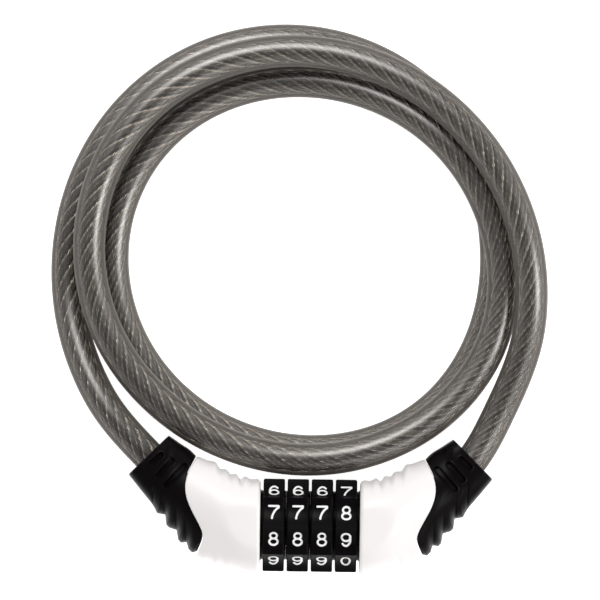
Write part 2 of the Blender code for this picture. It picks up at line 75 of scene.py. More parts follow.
def lamp(name, azimuth, elevation, size, power, distance=1.3):
    """A square soft lamp aimed at the lock, placed by its direction in degrees."""
    light = bpy.data.lights.new(name, "AREA")
    light.size, light.energy = size, power
    around, up = math.radians(azimuth), math.radians(elevation)
    way = np.array([math.cos(around) * math.cos(up), math.sin(around) * math.cos(up), math.sin(up)])
    thing = bpy.data.objects.new(name, light)
    thing.location = np.array([*VIEW_CENTRE, 0.0]) + way * distance
    turn_z, tilt = around + math.pi / 2, math.pi / 2 - up
    thing.rotation_euler = (tilt, 0.0, turn_z)
    bpy.context.scene.collection.objects.link(thing)


lamp("lamp_top", 108, 50, 0.55, 9.0)
lamp("lamp_right", -8, 44, 0.44, 7.2)
lamp("lamp_front", -62, 44, 0.5, 2.0)

def shader_node(tree, kind, values=None, **settings):
    """A new node in a material, with its settings and the values of its inputs."""
    made = tree.nodes.new("ShaderNode" + kind)
    for setting, value in settings.items():
        setattr(made, setting, value)
    for socket, value in (values or {}).items():
        made.inputs[socket].default_value = value
    return made


def wire(tree, *joins):
    """Joins sockets: each join is a node and its output, then a node and its input."""
    for giver, output, taker, socket in joins:
        tree.links.new(giver.outputs[output], taker.inputs[socket])


# The sky is pale all round and dull overhead
sky = bpy.data.worlds.new("studio")
sky.use_nodes = True
bpy.context.scene.world = sky
sky_tree = sky.node_tree
sky_light = sky_tree.nodes["Background"]
sky_light.inputs["Color"].default_value = (1.0, 0.995, 0.985, 1.0)
way_seen = shader_node(sky_tree, "TexCoord")
height_seen = shader_node(sky_tree, "SeparateXYZ")
paleness = shader_node(sky_tree, "MapRange", {"From Max": 0.9, "To Min": 0.95, "To Max": 0.13})
wire(
    sky_tree,
    (way_seen, "Generated", height_seen, 0),
    (height_seen, "Z", paleness, "Value"),
    (paleness, "Result", sky_light, "Strength"),
)


def new_material(name, colour):
    """A material of nodes with a plain colour for quick views: gives it, its tree and its shader."""
    made = bpy.data.materials.new(name)
    made.use_nodes = True
    made.diffuse_color = colour
    return made, made.node_tree, made.node_tree.nodes["Principled BSDF"]


FLOOR_HALF = 30
floor_mesh = bpy.data.meshes.new("floor")
floor_corners = [(FLOOR_HALF * x, FLOOR_HALF * y, 0) for x, y in ((-1, -1), (1, -1), (1, 1), (-1, 1))]
floor_mesh.from_pydata(floor_corners, [], [(0, 1, 2, 3)])
floor = bpy.data.objects.new("floor", floor_mesh)
bpy.context.scene.collection.objects.link(floor)
sheet, _, sheet_shader = new_material("pale_sheet", (0.8, 0.8, 0.8, 1.0))
for socket, value in {
    "Base Color": (0.9, 0.9, 0.9, 1.0), "Roughness": 0.85, "Specular IOR Level": 0.1,
    "Emission Color": (1.0, 1.0, 1.0, 1.0), "Emission Strength": 0.88,
}.items():
    sheet_shader.inputs[socket].default_value = value
floor_mesh.materials.append(sheet)

# ------------------------------------------------------------------ cable: its route
# The cable leaves the fixed end, lies round the floor once, climbs over that turn for a second,
# climbs again for the last stretch, and comes down into the plug. It is 10 mm thick.

COIL_MIDDLE = np.array([-0.0043, 0.0717])
COIL_START = 225.7
COIL_STEP = 30.0
COIL_RADII = [
    0.0730, 0.0725, 0.0732, 0.0747, 0.0746, 0.0721, 0.0678, 0.0628, 0.0603, 0.0587, 0.0558, 0.0539,
    0.0544, 0.0567, 0.0596, 0.0613, 0.0611, 0.0609, 0.0617, 0.0628, 0.0636, 0.0611, 0.0581, 0.0569,
    0.0584, 0.0626, 0.0673, 0.0706, 0.0706, 0.0696, 0.0693, 0.0707, 0.0735,
]
COIL_HEIGHTS = [
    (0, 0.0155), (47, 0.0051), (485, 0.0051), (550, 0.01545), (845, 0.01545),
    (916, 0.0226), (942, 0.0226), (986, 0.0155),
]
LEFT_END = [(-0.0385, 0.0029, 0.0155), (-0.04485, 0.00925, 0.0155), (-0.0512, 0.0156, 0.0155)]
RIGHT_END = [(0.0581, 0.0292, 0.0157), (0.0509, 0.0159, 0.0155), (0.0385, 0.0029, 0.0155)]
ROUTE_STEP = 1.0 * MM


def smooth_curve(points, count):
    """Evenly spaced points on the natural cubic spline through the given ones: on each span, the
    straight blend of its ends, plus a sixth of the span squared times each end's bend, weighted by
    (share cubed less share). The bends solve the spline's tridiagonal system."""
    knots = np.array(points, float)
    last = len(knots) - 1
    reach = np.r_[0, np.cumsum(np.linalg.norm(np.diff(knots, axis=0), axis=1))]
    step = np.diff(reach)
    inner = np.arange(1, last)
    system, known = np.eye(last + 1), np.zeros_like(knots)
    system[inner, inner - 1], system[inner, inner + 1] = step[:-1], step[1:]
    system[inner, inner] = 2 * (step[:-1] + step[1:])
    slope = np.diff(knots, axis=0) / step[:, None]
    known[inner] = 6 * np.diff(slope, axis=0)
    bend = np.linalg.solve(system, known)
    where = np.linspace(0, reach[-1], count)
    i = np.clip(np.searchsorted(reach, where, side="right") - 1, 0, last - 1)
    back = ((reach[i + 1] - where) / step[i])[:, None]
    ahead = 1 - back
    sixth = (step[i] ** 2 / 6)[:, None]
    straight = back * knots[i] + ahead * knots[i + 1]
    return straight + sixth * ((back**3 - back) * bend[i] + (ahead**3 - ahead) * bend[i + 1])


def ease(share):
    """A share held between 0 and 1 and made smooth at both ends: 3 s squared less 2 s cubed."""
    share = np.clip(share, 0.0, 1.0)
    return share * share * (3 - 2 * share)


def lengths_along(line):
    """The length run at each point of a line."""
    return np.r_[0, np.cumsum(np.linalg.norm(np.diff(line, axis=0), axis=1))]


def cable_route():
    """The cable's centreline. Round the coil, the strand's distance from the middle is a spline
    over the degrees run, and its height goes in eased steps between the stated ones."""
    stated = [(COIL_STEP * i, radius * 1000) for i, radius in enumerate(COIL_RADII)]
    radii = smooth_curve(stated, 800)
    degrees = np.arange(10, COIL_STEP * (len(COIL_RADII) - 1) + 1, 10)
    radius = np.interp(degrees, radii[:, 0], radii[:, 1]) * MM
    angle = np.radians(COIL_START - degrees)
    at, high = np.array(COIL_HEIGHTS).T
    span = np.clip(np.searchsorted(at, degrees) - 1, 0, len(at) - 2)
    share = ease((degrees - at[span]) / (at[span + 1] - at[span]))
    height = high[span] + (high[span + 1] - high[span]) * share
    flat = COIL_MIDDLE + radius[:, None] * np.stack([np.cos(angle), np.sin(angle)], 1)
    knots = np.vstack([LEFT_END, np.column_stack([flat, height]), RIGHT_END])
    rough = smooth_curve(knots, 4000)
    length = lengths_along(rough)
    count = int(round(length[-1] / ROUTE_STEP)) + 1
    even = np.linspace(0, length[-1], count)
    return np.column_stack([np.interp(even, length, rough[:, k]) for k in range(3)])


def cross_frames(line):
    """Two unit vectors across a line at each point: sideways, which is level, and upwards."""
    way = np.gradient(line, axis=0)
    way /= np.linalg.norm(way, axis=1)[:, None]
    side = np.cross(way, [0.0, 0.0, 1.0])
    side /= np.linalg.norm(side, axis=1)[:, None]
    return side, np.cross(side, way)


def skin(name, *grids, sharp=35.0, marks=None):
    """An object whose faces join neighbours on grids of points, each rows by columns by xyz. A
    plain row of points is one face. Lines that lie on each other are merged, which closes rings,
    seams and poles, and the normals are turned outwards. Marks are a number for each point."""
    points, faces, first = [], [], 0
    for grid in grids:
        grid = np.asarray(grid, float)
        if grid.ndim == 2:
            faces.append(np.arange(len(grid))[None] + first)
            points.append(grid)
            first += len(grid)
            continue
        rows, columns = grid.shape[:2]
        index = np.arange(rows * columns).reshape(rows, columns) + first
        quads = [index[:-1, :-1], index[1:, :-1], index[1:, 1:], index[:-1, 1:]]
        faces.append(np.stack(quads, -1).reshape(-1, 4))
        points.append(grid.reshape(-1, 3))
        first += rows * columns
    mesh = bpy.data.meshes.new(name)
    mesh.from_pydata(np.vstack(points), [], [face for group in faces for face in group.tolist()])
    for label, values in (marks or {}).items():
        mark = mesh.attributes.new(label, "FLOAT", "POINT")
        mark.data.foreach_set("value", np.concatenate([np.ravel(v) for v in values]).astype(np.float32))
    shape = bmesh.new()
    shape.from_mesh(mesh)
    bmesh.ops.remove_doubles(shape, verts=shape.verts, dist=0.002 * MM)
    bmesh.ops.recalc_face_normals(shape, faces=shape.faces)
    shape.to_mesh(mesh)
    shape.free()
    mesh.shade_smooth()
    mesh.set_sharp_from_angle(angle=math.radians(sharp))
    thing = bpy.data.objects.new(name, mesh)
    bpy.context.scene.collection.objects.link(thing)
    return thing


route = cable_route()

# ------------------------------------------------------------------ cable: the steel rope
# Six strands are laid round a core, and each strand shows its own nine outer wires. The rope is
# bright drawn steel, and its ends go a few millimetres into crimped ferrules in the head.

LAY_LENGTH = 34.5 * MM
STRAND_R = 1.25 * MM
STRAND_CENTRE_R = 2.5 * MM
OUTER_WIRES = 9
WIRE_R = STRAND_R * math.sin(math.pi / OUTER_WIRES) / (1 + math.sin(math.pi / OUTER_WIRES))
STRAND_WIRE_LAY = 15.0 * MM
CORE_SCALE = 0.98
ROPE_RUN_ON = 5.3 * MM


def run_on(line, length):
    """The line with a straight length added at each end."""
    reach = np.arange(1, round(length / ROUTE_STEP) + 1)[:, None] * ROUTE_STEP
    start = (line[0] - line[1]) / np.linalg.norm(line[0] - line[1])
    finish = (line[-1] - line[-2]) / np.linalg.norm(line[-1] - line[-2])
    return np.vstack([line[0] + start * reach[::-1], line, line[-1] + finish * reach])


def wire_outline(around):
    """The outside of a ring of round wires, as a distance from the strand's middle: out along the
    nearest wire's own middle, and on to the far side of its circle."""
    sector = 2 * np.pi / OUTER_WIRES
    off = (around + sector / 2) % sector - sector / 2
    ring_r = STRAND_R - WIRE_R
    return ring_r * np.cos(off) + np.sqrt(np.maximum(WIRE_R**2 - (ring_r * np.sin(off)) ** 2, 0))


def strand(name, line, turn, centre_r, scale, wire_lay):
    """A strand: its middle winds round the line at centre_r once for each lay length, and its wires
    wind back about that middle, four columns of points to a wire. It is marked with the cosine and
    sine of the turn away from the rope's outside, and with the length along the cable."""
    side, up = cross_frames(line)
    run = lengths_along(line)[:, None]
    wind = 2 * np.pi * run / LAY_LENGTH + turn
    out = np.sin(wind) * side + np.cos(wind) * up
    middle = line + centre_r * out
    way = np.gradient(middle, axis=0)
    way /= np.linalg.norm(way, axis=1)[:, None]
    across = np.cross(way, out)
    wire_turn = np.linspace(0, 2 * np.pi, 4 * OUTER_WIRES + 1)[None]
    around = wire_turn + 2 * np.pi * run / wire_lay
    radius = scale * wire_outline(wire_turn)
    ring = np.cos(around)[..., None] * out[:, None] + np.sin(around)[..., None] * across[:, None]
    wall = middle[:, None] + radius[..., None] * ring
    marks = {"outward": np.cos(around), "sideward": np.sin(around), "run": run - ROPE_RUN_ON + 0 * around}
    marks = {label: [value, value[0, :-1], value[-1, :-1]] for label, value in marks.items()}
    return skin(name, wall, wall[0, :-1], wall[-1, :-1], marks=marks)


def colour_ramp(tree, stops):
    """A ramp through stops, each a position and a colour."""
    made = shader_node(tree, "ValToRGB")
    elements = made.color_ramp.elements
    for element, (position, colour) in zip(elements, (stops[0], stops[-1])):
        element.position, element.color = position, (*colour, 1.0)
    for position, colour in stops[1:-1]:
        elements.new(position).color = (*colour, 1.0)
    return made


# How bright the painted light is across a strand's outer half, from one flank to the other, between valleys:
# a painted highlight on one flank and painted shade on the other
STRAND_PAINTED_LIGHT = [
    (0.15, 0.12), (0.19, 1.0), (0.27, 0.92), (0.36, 0.34), (0.5, 0.22), (0.66, 0.25), (0.76, 0.50),
    (0.83, 0.12), (0.88, 0.02),
]
# Painted shade: the valleys between strands are coloured near black, at these places on the ramp
VALLEY_PLACES = (0.08, 0.93)
VALLEY_PAINTED_SHADE = (0.03, 0.028, 0.025)


def rope_wire():
    """Drawn wire under clear plastic, with light and shade painted into its colour: the strand's outside is
    dull, a painted highlight lies on one flank and painted shade on the other, and the valley between two
    strands is painted dark as shade."""
    made, tree, shader = new_material("drawn_steel_wire", (0.4, 0.39, 0.37, 1.0))
    shader.inputs["Metallic"].default_value = 1.0
    outward = shader_node(tree, "Attribute", attribute_name="outward")
    sideward = shader_node(tree, "Attribute", attribute_name="sideward")
    turned = shader_node(tree, "Math", operation="ARCTAN2")
    share = shader_node(tree, "MapRange", {"From Min": -math.pi / 2, "From Max": math.pi / 2})
    # The ramp paints a highlight on one flank of each strand and shade on the other flank and in the valleys
    painted_flanks = [(at, (grey, grey * 0.95, grey * 0.90)) for at, grey in STRAND_PAINTED_LIGHT]
    first, last = ((at, VALLEY_PAINTED_SHADE) for at in VALLEY_PLACES)
    painted_flank_light = colour_ramp(tree, [first, *painted_flanks, last])
    place = shader_node(tree, "TexCoord")
    flecks = shader_node(tree, "TexNoise", {"Scale": 1500.0, "Detail": 2.0})
    strength = shader_node(
        tree, "MapRange", {"From Min": 0.35, "From Max": 0.65, "To Min": 0.75, "To Max": 1.25}
    )
    colour = shader_node(tree, "VectorMath", operation="SCALE")
    rough = shader_node(tree, "MapRange", {"To Min": 0.34, "To Max": 0.50})
    wire(
        tree,
        (sideward, "Fac", turned, 0),
        (outward, "Fac", turned, 1),
        (turned, 0, share, "Value"),
        (share, "Result", painted_flank_light, "Fac"),
        (place, "Object", flecks, "Vector"),
        (flecks, "Fac", strength, "Value"),
        (painted_flank_light, "Color", colour, 0),
        (strength, "Result", colour, "Scale"),
        (colour, 0, shader, "Base Color"),
        (flecks, "Fac", rough, "Value"),
        (rough, "Result", shader, "Roughness"),
    )
    return made


rope_line = run_on(route, ROPE_RUN_ON)
rope_steel = rope_wire()
strands = [
    strand(f"rope_strand_{k + 1}", rope_line, k * np.pi / 3, STRAND_CENTRE_R, 1.0, -STRAND_WIRE_LAY)
    for k in range(6)
]
strands.append(strand("rope_core", rope_line[::2], 0.0, 0.0, CORE_SCALE, STRAND_WIRE_LAY))
for piece in strands:
    piece.data.materials.append(rope_steel)
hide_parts("wire_rope")

# ------------------------------------------------------------------ cable: the sleeve
# A smoke-coloured see-through PVC tube is extruded over the rope. It is clear enough to show the
# strands, darkens towards its edges, and carries soft highlights on a faintly uneven surface.

SLEEVE_R = 5.0 * MM
SLEEVE_BORE_R = 3.85 * MM


def round_tube(line, radius, columns):
    """Circles of one radius across a line."""
    side, up = cross_frames(line)
    around = np.linspace(0, 2 * np.pi, columns + 1)[None, :, None]
    return line[:, None] + radius * (np.cos(around) * side[:, None] + np.sin(around) * up[:, None])


# How far the smoke hides what is behind it, from facing the eye to edge on
SMOKE_COVER = [
    (0.0, 0.06), (0.15, 0.09), (0.25, 0.22), (0.33, 0.52), (0.38, 0.80), (0.45, 0.86), (0.7, 0.90),
    (1.0, 0.97),
]


def smoke_sleeve():
    """See-through smoke: a tinted clear part under a hazy part that takes over towards the edges, with a
    painted sheen that makes the haze's colour paler at the very edge, and a soft gloss that fades there. The
    bore's wall is only clear."""
    made, tree, haze = new_material("smoke_sleeve", (0.2, 0.19, 0.17, 0.5))
    haze.inputs["Roughness"].default_value = 0.5
    haze.inputs["Specular IOR Level"].default_value = 0.2
    gloss = shader_node(tree, "BsdfGlossy", {"Roughness": 0.36, "Color": (1.0, 0.97, 0.94, 1.0)})
    clear = shader_node(tree, "BsdfTransparent", {"Color": (0.80, 0.78, 0.752, 1.0)})
    wall = shader_node(tree, "Attribute", attribute_name="outside")
    facing = shader_node(tree, "LayerWeight", {"Blend": 0.5})
    cover = colour_ramp(tree, [(at, (share, share, share)) for at, share in SMOKE_COVER])
    hazed = shader_node(tree, "Math", operation="MULTIPLY")
    polish = shader_node(
        tree, "MapRange", {"From Min": 0.2, "From Max": 0.42, "To Min": 0.13, "To Max": 0.006}
    )
    glazed = shader_node(tree, "Math", operation="MULTIPLY")
    # Painted sheen: the haze's colour is lifted up to 1.8 times towards the grazing edge
    edge = shader_node(
        tree, "MapRange", {"From Min": 0.5, "From Max": 0.72, "To Min": 1.0, "To Max": 1.8}
    )
    place = shader_node(tree, "TexCoord")
    cloud = shader_node(tree, "TexNoise", {"Scale": 60.0, "Detail": 3.0})
    tint = shader_node(
        tree, "MixRGB", {"Color1": (0.060, 0.052, 0.044, 1.0), "Color2": (0.086, 0.075, 0.065, 1.0)}
    )
    rim_sheen_tint = shader_node(tree, "VectorMath", operation="SCALE")
    ripple = shader_node(tree, "TexNoise", {"Scale": 700.0, "Detail": 2.0})
    bump = shader_node(tree, "Bump", {"Strength": 0.12, "Distance": 0.02 * MM})
    mix, coated = shader_node(tree, "MixShader"), shader_node(tree, "MixShader")
    wire(
        tree,
        (place, "Object", cloud, "Vector"),
        (cloud, "Fac", tint, "Fac"),
        (facing, "Facing", edge, "Value"),
        (tint, "Color", rim_sheen_tint, 0),
        (edge, "Result", rim_sheen_tint, "Scale"),
        (rim_sheen_tint, 0, haze, "Base Color"),
        (place, "Object", ripple, "Vector"),
        (ripple, "Fac", bump, "Height"),
        (bump, "Normal", haze, "Normal"),
        (bump, "Normal", gloss, "Normal"),
        (facing, "Facing", cover, "Fac"),
        (cover, "Color", hazed, 0),
        (wall, "Fac", hazed, 1),
        (hazed, 0, mix, "Fac"),
        (clear, "BSDF", mix, 1),
        (haze, "BSDF", mix, 2),
        (facing, "Facing", polish, "Value"),
        (wall, "Fac", glazed, 0),
        (polish, "Result", glazed, 1),
        (glazed, 0, coated, "Fac"),
        (mix, "Shader", coated, 1),
        (gloss, "BSDF", coated, 2),
        (coated, "Shader", tree.nodes["Material Output"], "Surface"),
    )
    return made


outer = round_tube(route, SLEEVE_R, 32)
inner = round_tube(route, SLEEVE_BORE_R, 32)
runs = lengths_along(route)[:, None] + np.zeros(outer.shape[:2])
walls = [outer, inner[:, ::-1], np.stack([outer[0], inner[0]]), np.stack([outer[-1], inner[-1]])]
marks = {
    "outside": [np.full(wall.shape[:2], float(wall is outer)) for wall in walls],
    "run": [runs, runs, runs[[0, 0]], runs[[-1, -1]]],
}
sleeve = skin("cable_sleeve", *walls, marks=marks)
sleeve.data.materials.append(smoke_sleeve())
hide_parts("cable_sheath")

# Each piece of the cable has its placing baked into its points, and its length run along the cable is read
# back
for piece in (sleeve, *strands):
    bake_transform(piece)
    run = np.zeros(len(piece.data.vertices), np.float32)
    piece.data.attributes["run"].data.foreach_get("value", run)

# ------------------------------------------------------------------ casings
# Each end of the head has a white ABS casing, moulded as a front and a back half that meet at a
# parting line. The half is a shell with a round hole in its end wall for the dials' boss, and its
# edges beside the cable and the fingers are wavy for grip.

AXIS_Y, AXIS_Z = -6.0 * MM, HEAD_MIDDLE_HEIGHT
GAP = 0.3 * MM
SEAM = [
    (35.3, -16.1), (34.7, -14.4), (33.2, -10.2), (34.6, -5.6), (37.9, 0.9), (38.9, 5.4), (38.0, 10.3),
    (35.4, 15.1),
]
CASING_UPPER = [(15.5, 7.9), (20.7, 8.6), (26.0, 10.2), (30.9, 12.9), (35.4, 15.1)]
CASING_LOWER = [(15.5, -21.4), (20.4, -20.6), (26.0, -19.2), (30.6, -17.7), (35.3, -16.1)]
UPPER_WAVES = [
    (15.5, 8.1), (17.2, 8.25), (19.0, 8.3), (20.1, 8.95), (21.0, 8.75), (21.8, 8.15), (22.7, 9.2),
    (23.7, 9.75), (24.9, 9.65), (25.8, 10.7), (26.7, 11.2), (28.3, 11.4), (28.9, 12.2), (29.7, 13.3),
    (31.2, 13.65), (33.0, 14.2), (35.4, 15.1),
]
LOWER_WAVES = [
    (15.5, -21.4), (18.7, -21.0), (21.7, -20.1), (24.0, -19.5), (25.0, -19.45), (26.3, -19.0), (27.3, -18.3),
    (28.6, -18.5), (29.8, -18.3), (30.8, -17.4), (32.9, -17.1), (34.2, -16.5), (35.3, -16.1),
]
WAVE_REACH = 2.4
CASING_HALF_HEIGHTS = [(0.0, 16.4), (0.2, 16.3), (0.4, 15.7), (0.6, 14.4), (0.8, 12.7), (1.0, 11.0)]
CASING_TOP = 15.5
SECTION_POWER = 2.5
CASING_WALL = 2.0
CASING_END_X = 15.5
END_WALL_X = (CASING_END_X, CASING_END_X + CASING_WALL)
END_HOLE_R = 11.3


def at_share(line, share):
    """Points at shares of a line's length, blended straight between its own points."""
    line = np.array(line, float)
    run = lengths_along(line)
    return np.stack([np.interp(share * run[-1], run, line[:, k]) for k in range(2)], -1)


def patch(lower, upper, near, far, along, across):
    """A Coons patch: the straight blend of the lower and upper edges, plus that of the near and far
    edges, less the straight blend of the four corners."""
    low, high = at_share(lower, along), at_share(upper, along)
    start, end = at_share(near, across), at_share(far, across)
    a, c = along[..., None], across[..., None]
    corner = [np.array(line[k], float) for line in (lower, upper) for k in (0, -1)]
    corners = (1 - a) * ((1 - c) * corner[0] + c * corner[2]) + a * ((1 - c) * corner[1] + c * corner[3])
    return (1 - c) * low + c * high + (1 - a) * start + a * end - corners


def over_the_top(across, height, power):
    """The section's rise above the lock's middle: a superellipse, 1 less the distance from the
    middle to a power, and the whole to one over that power."""
    return height * np.maximum(1 - np.abs(2 * across - 1) ** power, 0) ** (1 / power)


def held_under(value, top, softness):
    """A value kept under a top with a soft knee: minus the log of the two summed exponentials."""
    return -softness * np.log(np.exp(-value / softness) + np.exp(-top / softness))


casing_seam = smooth_curve(SEAM, 120)
casing_upper = smooth_curve(CASING_UPPER, 240)
casing_lower = smooth_curve(CASING_LOWER, 240)
casing_near = [casing_lower[0], casing_upper[0]]
upper_waves, lower_waves = smooth_curve(UPPER_WAVES, 400), smooth_curve(LOWER_WAVES, 400)
casing_heights = smooth_curve([(10 * a, h) for a, h in CASING_HALF_HEIGHTS], 60) * [0.1, 1.0]


def casing_rows(along, inset, turn):
    """Rows of the casing's section in millimetres, over the top from the lower edge to the upper:
    each row is drawn in by its inset."""
    along, inset = along[:, None] + 0 * turn, inset[:, None] + 0 * turn
    width = np.linalg.norm(at_share(casing_upper, along) - at_share(casing_lower, along), axis=-1)
    spread = 0.5 - 0.5 * np.cos(turn) + 0 * along
    across = inset / width + spread * (1 - 2 * inset / width)
    flat = patch(casing_lower, casing_upper, casing_near, casing_seam, along, across)
    for wave, line, depth in (
        (upper_waves, casing_upper, (1 - spread) * width), (lower_waves, casing_lower, spread * width)
    ):
        off = np.interp(wave[:, 0], line[:, 0], line[:, 1])
        stand = np.interp(flat[..., 0], wave[:, 0], wave[:, 1] - off)
        flat[..., 1] += stand * np.exp(-((depth / WAVE_REACH) ** 2)) * np.clip(1 - inset, 0, 1)
    height = np.interp(along, casing_heights[:, 0], casing_heights[:, 1])
    rise = held_under(over_the_top(spread, height, SECTION_POWER), CASING_TOP, 0.22) + 0.14 - inset
    return np.concatenate([flat, np.maximum(rise, 0.0)[..., None]], -1)


def casing_half(side, up):
    """One half of a casing as a closed shell: the outer skin from the seam to the dials with both
    edges rounded, the end wall in to its round hole, and the inner skin back to the seam."""
    turn = np.linspace(0, np.pi, 97)[None]
    edge = np.radians(np.linspace(0, 90, 7))
    length = 19.6
    seam_round, end_round = 0.35, 1.1
    along = np.r_[
        1 - seam_round * (1 - np.sin(edge[::-1])) / length,
        np.linspace(0.975, 0.065, 90),
        end_round * (1 - np.sin(edge)) / length,
    ]
    inset = np.r_[seam_round * (1 - np.cos(edge[::-1])), np.zeros(90), end_round * (1 - np.cos(edge))]
    outside = casing_rows(along, inset, turn)
    ring_y = AXIS_Y / MM - END_HOLE_R * np.cos(turn[0])
    ring_z = END_HOLE_R * np.sin(turn[0])
    hole = np.stack(
        [np.column_stack([np.full(97, x), ring_y, ring_z]) for x in END_WALL_X]
    )
    inside = casing_rows(np.linspace(CASING_WALL / length, 1.0, 40), np.full(40, CASING_WALL), turn)
    shape = np.concatenate([outside, hole, inside, outside[:1]]) * MM
    shape[..., 0] *= side
    shape[..., 2] = AXIS_Z + up * (GAP / 2 + shape[..., 2] * (1 - GAP / 2 / (CASING_TOP * MM)))
    return [shape, shape[:-1, 0], shape[:-1, -1]]


def mottled(name, colour, roughness, tones, gloss, patches, grain, detail, strength, depth):
    """A material whose colour and roughness drift between two multiples of their own in patches,
    with a fine grain that bumps it: gives it and its shader."""
    made, tree, shader = new_material(name, (*colour, 1.0))
    low, high = ((*[min(1.0, c * tone) for c in colour], 1.0) for tone in tones)
    place = shader_node(tree, "TexCoord")
    drift = shader_node(tree, "TexNoise", {"Scale": patches, "Detail": 4.0})
    tint = shader_node(tree, "MixRGB", {"Color1": low, "Color2": high})
    rough = shader_node(tree, "MapRange", {"To Min": roughness * gloss[0], "To Max": roughness * gloss[1]})
    texture = shader_node(tree, "TexNoise", {"Scale": grain, "Detail": detail})
    bump = shader_node(tree, "Bump", {"Strength": strength, "Distance": depth})
    wire(
        tree,
        (place, "Object", drift, "Vector"),
        (place, "Object", texture, "Vector"),
        (drift, "Fac", tint, "Fac"),
        (drift, "Fac", rough, "Value"),
        (tint, "Color", shader, "Base Color"),
        (rough, "Result", shader, "Roughness"),
        (texture, "Fac", bump, "Height"),
        (bump, "Normal", shader, "Normal"),
    )
    return made, shader


def moulded_plastic(name, colour, roughness, shade, grain, depth, specular=0.5):
    """Moulded plastic: a faint drift of colour and gloss, and a spark-eroded grain that bumps it."""
    tones, gloss = (1 - shade, 1 + shade), (0.85, 1.2)
    made, shader = mottled(name, colour, roughness, tones, gloss, 55.0, grain, 5.0, 0.3, depth)
    shader.inputs["Specular IOR Level"].default_value = specular
    return made


white_plastic = moulded_plastic("white_abs", (0.85, 0.822, 0.815), 0.42, 0.015, 1500.0, 0.03 * MM)
BODY_OF_SIDE = {-1: "lock_base", 1: "plug"}
NAME_OF_SIDE = {-1: "left", 1: "right"}
for side in (-1, 1):
    for half, up in (("front", 1), ("back", -1)):
        node = f"{NAME_OF_SIDE[side]}_shell_{half}"
        shell = skin(f"{node}_moulding", *casing_half(side, up))
        shell.data.materials.append(white_plastic)
        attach(shell, BODY_OF_SIDE[side])
        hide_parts(node)

# ------------------------------------------------------------------ boots
# A black rubber boot is moulded over each end of the head, where the cable comes out at 45
# degrees. Finger steps run down its outer edge and fade up its faces as folds, and three short
# rounded slots are sunk in each face beside the mouth.

BOOT_UPPER = [(35.4, 15.1), (37.9, 17.2), (40.3, 18.7), (42.4, 20.1), (44.4, 21.4)]
BOOT_LOWER = [
    (34.7, -14.6), (36.6, -15.0), (37.75, -13.9), (38.35, -11.75), (40.2, -11.95), (41.0, -11.0),
    (41.5, -8.0), (43.9, -7.25), (44.75, -6.4), (45.1, -3.3), (47.7, -2.8), (48.3, -1.5),
    (49.5, 0.4), (53.0, 4.6), (56.75, 9.2),
]
BOOT_LOWER_MEAN = [
    (34.7, -14.6), (38.0, -13.6), (41.6, -10.3), (45.2, -5.8), (48.6, -1.8), (53.0, 4.4), (56.75, 9.2),
]
STEP_REACH, STEP_ROUND = 3.0, 0.28
BOOT_HALF_HEIGHTS = [(0.0, 10.9), (0.3, 10.0), (0.65, 9.25), (1.0, 8.65)]
FOLDS = [(38.4, -11.8), (41.5, -8.0), (45.2, -3.4), (48.8, 0.0)]
SLOTS = [((49.35, 12.95), (46.7, 15.4)), ((47.2, 9.15), (43.1, 13.65)), ((44.85, 6.15), (39.3, 12.1))]
SLOT_HALF_WIDTH = 0.82
SLOT_DEPTH, SLOT_LIP = 1.05, 0.12
FOLD_DEPTH, FOLD_FADE = 0.6, 9.0
MOUTH_BORE = ((50.74, 15.14), 5.35)
SEAM_BORE = (38.75, 3.15)


def rounded(line, step, reach):
    """A polyline with its corners rounded: it is divided evenly, and each point is moved to the
    mean of its neighbours within a reach, while both ends stay."""
    line = np.array(line, float)
    run = lengths_along(line)
    count = int(run[-1] / step)
    fine = at_share(line, np.linspace(0, 1, count))
    wide = max(1, int(reach / step))
    padded = np.vstack([2 * fine[0] - fine[wide:0:-1], fine, 2 * fine[-1] - fine[-2 : -wide - 2 : -1]])
    total = np.cumsum(np.vstack([[0, 0], padded]), axis=0)
    return (total[2 * wide + 1 :] - total[: -2 * wide - 1]) / (2 * wide + 1)


def distance_to(points, start, end):
    """The distance from points to a straight run: to its nearest point, held between its ends."""
    start, end = np.array(start), np.array(end)
    share = np.clip(((points - start) @ (end - start)) / ((end - start) @ (end - start)), 0, 1)
    return np.linalg.norm(points - start - share[..., None] * (end - start), axis=-1)


